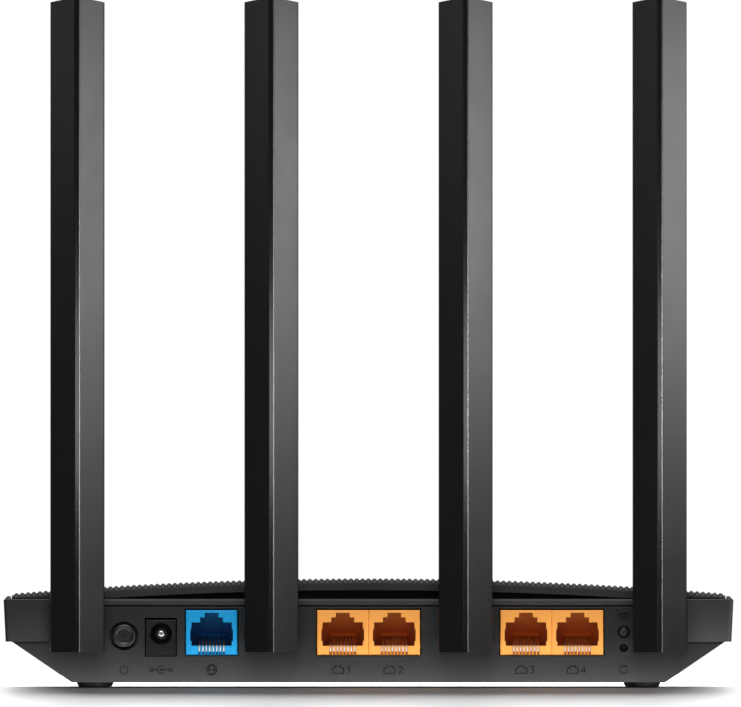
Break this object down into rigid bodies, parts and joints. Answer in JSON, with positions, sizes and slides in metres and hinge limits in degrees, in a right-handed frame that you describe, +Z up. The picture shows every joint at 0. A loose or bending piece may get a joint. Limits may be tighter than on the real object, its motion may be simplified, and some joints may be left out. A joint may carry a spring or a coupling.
{
  "type": "wireless router",
  "caption": "Desktop wireless router with a ribbed arched lid, a rear panel of network sockets and buttons, and upright flat antennas that swivel and tilt.",
  "frame": {"origin": "centre of the overall box in plan, on the surface that the feet stand on", "axes": "+X along the width, -Y towards the rear panel and its sockets, +Z up"},
  "size_m": [0.2148, 0.1292, 0.2015],
  "materials": {
    "lid": "moulded black ribs, satin",
    "front_strip": "smooth semi-gloss black",
    "light_guide": "clear moulded light guide",
    "upper_case": "fine-textured black",
    "lower_case": "fine-textured black",
    "rear_case": "fine-textured black",
    "baffle": "matte black",
    "blue_socket": "moulded blue",
    "orange_socket": "moulded orange",
    "contact_gold": "gold-plated spring contacts",
    "inlet_black": "moulded black",
    "steel": "plated steel",
    "button_black": "satin black",
    "component_black": "moulded black",
    "hinge_black": "satin black",
    "antenna_black": "satin black",
    "antenna_board": "copper strip with tinned sleeves",
    "coax_sheath": "grey cable sheath",
    "board_green": "solder mask green",
    "thermal_pad": "soft grey-blue pad",
    "heatsink_metal": "anodised aluminium",
    "shield_metal": "tinned steel",
    "capacitor_can": "sleeved aluminium cans",
    "led_lens": "diffusing white lens",
    "rubber_foot": "black rubber",
    "screw_steel": "zinc-plated steel"
  },
  "bodies": {
    "root": {"top_cover": "lid", "front_panel": "front_strip", "light_pipe": "light_guide", "upper_shell": "upper_case", "lower_shell": "lower_case", "rear_panel": "rear_case", "rear_baffle": "baffle", "wan_jack": "blue_socket", "lan_jack_1": "orange_socket", "lan_jack_2": "orange_socket", "lan_jack_3": "orange_socket", "lan_jack_4": "orange_socket", "jack_contacts": "contact_gold", "dc_jack_housing": "inlet_black", "dc_jack_pin": "steel", "dc_jack_spring": "steel", "power_switch": "component_black", "small_switches": "component_black", "antenna_1_cable": "coax_sheath", "antenna_2_cable": "coax_sheath", "antenna_3_cable": "coax_sheath", "antenna_4_cable": "coax_sheath", "antenna_retainers": "hinge_black", "antenna_sockets": "contact_gold", "main_board": "board_green", "processor": "component_black", "thermal_pad": "thermal_pad", "heatsink": "heatsink_metal", "shield_cans": "shield_metal", "board_chips": "component_black", "magnetics": "component_black", "capacitors": "capacitor_can", "led_board": "board_green", "leds": "led_lens", "rubber_feet": "rubber_foot", "case_screws": "screw_steel", "board_screws": "screw_steel"},
    "power_button": {"power_button": "button_black"},
    "wps_button": {"wps_button": "button_black"},
    "reset_plunger": {"reset_plunger": "button_black"},
    "antenna_1": {"antenna_1_shell": "antenna_black", "antenna_1_cover": "antenna_black", "antenna_1_element": "antenna_board"},
    "antenna_1_base": {"antenna_1_swivel": "hinge_black", "antenna_1_pin": "steel"},
    "antenna_2": {"antenna_2_shell": "antenna_black", "antenna_2_cover": "antenna_black", "antenna_2_element": "antenna_board"},
    "antenna_2_base": {"antenna_2_swivel": "hinge_black", "antenna_2_pin": "steel"},
    "antenna_3": {"antenna_3_shell": "antenna_black", "antenna_3_cover": "antenna_black", "antenna_3_element": "antenna_board"},
    "antenna_3_base": {"antenna_3_swivel": "hinge_black", "antenna_3_pin": "steel"},
    "antenna_4": {"antenna_4_shell": "antenna_black", "antenna_4_cover": "antenna_black", "antenna_4_element": "antenna_board"},
    "antenna_4_base": {"antenna_4_swivel": "hinge_black", "antenna_4_pin": "steel"}
  },
  "joints": [
    {"name": "power_press", "type": "slide", "parent": "root", "child": "power_button", "axis": [0, 1, 0], "range_m": [0, 0.0016], "stiffness_N_per_m": 900, "springref_m": -0.0006},
    {"name": "wps_press", "type": "slide", "parent": "root", "child": "wps_button", "axis": [0, 1, 0], "range_m": [0, 0.0005], "stiffness_N_per_m": 2500, "springref_m": -0.0003},
    {"name": "reset_press", "type": "slide", "parent": "root", "child": "reset_plunger", "axis": [0, 1, 0], "range_m": [0, 0.0004], "stiffness_N_per_m": 2500, "springref_m": -0.0003},
    {"name": "antenna_1_swivel", "type": "hinge", "parent": "root", "child": "antenna_1_base", "pos_m": [-0.085, -0.0518, 0.0158], "axis": [0, 1, 0], "range_deg": [-90, 12]},
    {"name": "antenna_1_tilt", "type": "hinge", "parent": "antenna_1_base", "child": "antenna_1", "pos_m": [-0.085, -0.0583, 0.0158], "axis": [1, 0, 0], "range_deg": [0, 90]},
    {"name": "antenna_2_swivel", "type": "hinge", "parent": "root", "child": "antenna_2_base", "pos_m": [-0.02835, -0.0518, 0.0158], "axis": [0, 1, 0], "range_deg": [-12, 12]},
    {"name": "antenna_2_tilt", "type": "hinge", "parent": "antenna_2_base", "child": "antenna_2", "pos_m": [-0.02835, -0.0583, 0.0158], "axis": [1, 0, 0], "range_deg": [0, 90]},
    {"name": "antenna_3_swivel", "type": "hinge", "parent": "root", "child": "antenna_3_base", "pos_m": [0.02835, -0.0518, 0.0158], "axis": [0, 1, 0], "range_deg": [-12, 12]},
    {"name": "antenna_3_tilt", "type": "hinge", "parent": "antenna_3_base", "child": "antenna_3", "pos_m": [0.02835, -0.0583, 0.0158], "axis": [1, 0, 0], "range_deg": [0, 90]},
    {"name": "antenna_4_swivel", "type": "hinge", "parent": "root", "child": "antenna_4_base", "pos_m": [0.085, -0.0518, 0.0158], "axis": [0, 1, 0], "range_deg": [-12, 90]},
    {"name": "antenna_4_tilt", "type": "hinge", "parent": "antenna_4_base", "child": "antenna_4", "pos_m": [0.085, -0.0583, 0.0158], "axis": [1, 0, 0], "range_deg": [0, 90]}
  ]
}
